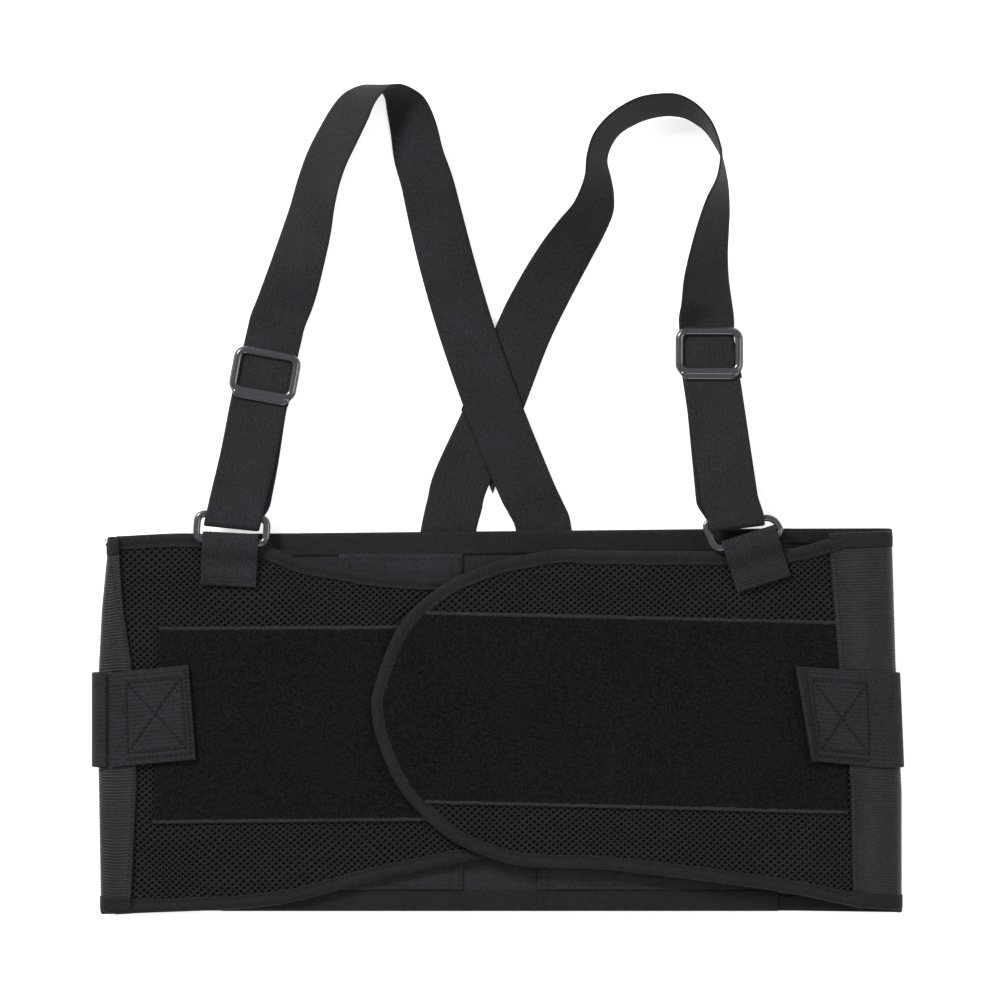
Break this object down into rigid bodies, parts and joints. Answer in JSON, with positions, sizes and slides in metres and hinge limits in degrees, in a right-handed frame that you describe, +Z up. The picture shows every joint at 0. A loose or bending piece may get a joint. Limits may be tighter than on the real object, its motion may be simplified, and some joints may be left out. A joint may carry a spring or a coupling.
{
  "type": "back brace",
  "caption": "Elastic lumbar support belt with mesh front panels, hook-and-loop closure, tension bands and crossed adjustable suspenders, laid flat.",
  "frame": {"origin": "centre of the tension band's outer face at the middle of the back, on the plane the belt lies on", "axes": "+X across the belt to the viewer's right, +Y from the belt's bottom hem to its top edge and the suspenders, +Z up off the table, from back to front"},
  "size_m": [0.4362, 0.4495, 0.031],
  "materials": {
    "webbing": "black elastic webbing, satin weave",
    "woven_elastic": "black ribbed woven elastic, slight sheen",
    "spacer_mesh": "black honeycomb air mesh",
    "loop_fleece": "brushed black loop fleece",
    "hook_tape": "black hook tape",
    "binding_tape": "black folded polyester tape",
    "back_cloth": "black woven cloth",
    "plastic": "moulded black plastic",
    "stay_steel": "flat spring steel"
  },
  "bodies": {
    "back": {"back_panel": "back_cloth", "back_hem_top": "binding_tape", "back_hem_bottom": "binding_tape", "stay_1": "stay_steel", "stay_2": "stay_steel", "stay_3": "stay_steel", "stay_4": "stay_steel", "stay_cover_left": "back_cloth", "stay_cover_right": "back_cloth", "tension_band": "webbing", "cross_patch": "webbing", "side_elastic_back_left": "woven_elastic", "side_elastic_back_right": "woven_elastic", "shoulder_strap_left": "webbing", "shoulder_strap_right": "webbing"},
    "left_panel": {"side_elastic_front_left": "woven_elastic", "tension_wrap_left": "webbing", "front_mesh_left": "spacer_mesh", "front_binding_left": "binding_tape", "loop_patch_left": "loop_fleece", "front_tab_left": "webbing", "strap_front_left": "webbing", "strap_return_left": "webbing"},
    "left_ring": {"ring_left": "plastic", "strap_fold_left": "webbing"},
    "left_slider": {"slider_left": "plastic", "strap_end_left": "webbing"},
    "left_tab": {"tension_tab_left": "webbing", "tab_hook_left": "hook_tape"},
    "right_panel": {"side_elastic_front_right": "woven_elastic", "tension_wrap_right": "webbing", "front_mesh_right": "spacer_mesh", "front_binding_right": "binding_tape", "loop_patch_right": "loop_fleece", "front_tab_right": "webbing", "strap_front_right": "webbing", "strap_return_right": "webbing", "closure_hook": "hook_tape"},
    "right_ring": {"ring_right": "plastic", "strap_fold_right": "webbing"},
    "right_slider": {"slider_right": "plastic", "strap_end_right": "webbing"},
    "right_tab": {"tension_tab_right": "webbing", "tab_hook_right": "hook_tape"}
  },
  "joints": [
    {"name": "left_panel_fold", "type": "hinge", "parent": "back", "child": "left_panel", "pos_m": [-0.2115, 0, 0.0066], "axis": [0, -1, 0], "range_deg": [0, 80]},
    {"name": "left_tab_peel", "type": "hinge", "parent": "left_panel", "child": "left_tab", "pos_m": [-0.2093, 0.001, 0.0125], "axis": [0, -1, 0], "range_deg": [0, 140]},
    {"name": "left_ring_lift", "type": "hinge", "parent": "left_panel", "child": "left_ring", "pos_m": [-0.145, 0.0969, 0.0127], "axis": [0.9986, -0.0523, 0], "range_deg": [0, 30]},
    {"name": "left_slider_slide", "type": "slide", "parent": "left_panel", "child": "left_slider", "axis": [0.2276, 0.9703, -0.0819], "range_m": [-0.055, 0.02]},
    {"name": "right_panel_fold", "type": "hinge", "parent": "back", "child": "right_panel", "pos_m": [0.209, 0, 0.00905], "axis": [0, 1, 0], "range_deg": [0, 170]},
    {"name": "right_tab_peel", "type": "hinge", "parent": "right_panel", "child": "right_tab", "pos_m": [0.2068, 0.001, 0.0174], "axis": [0, 1, 0], "range_deg": [0, 140]},
    {"name": "right_ring_lift", "type": "hinge", "parent": "right_panel", "child": "right_ring", "pos_m": [0.1345, 0.0969, 0.0176], "axis": [0.9511, 0.309, 0], "range_deg": [0, 30]},
    {"name": "right_slider_slide", "type": "slide", "parent": "right_panel", "child": "right_slider", "axis": [-0.1414, 0.9815, -0.1288], "range_m": [-0.06, 0]}
  ],
  "couplings": [
    {"joint": "left_panel_fold", "follows": "right_panel_fold", "ratio": 0.44}
  ]
}
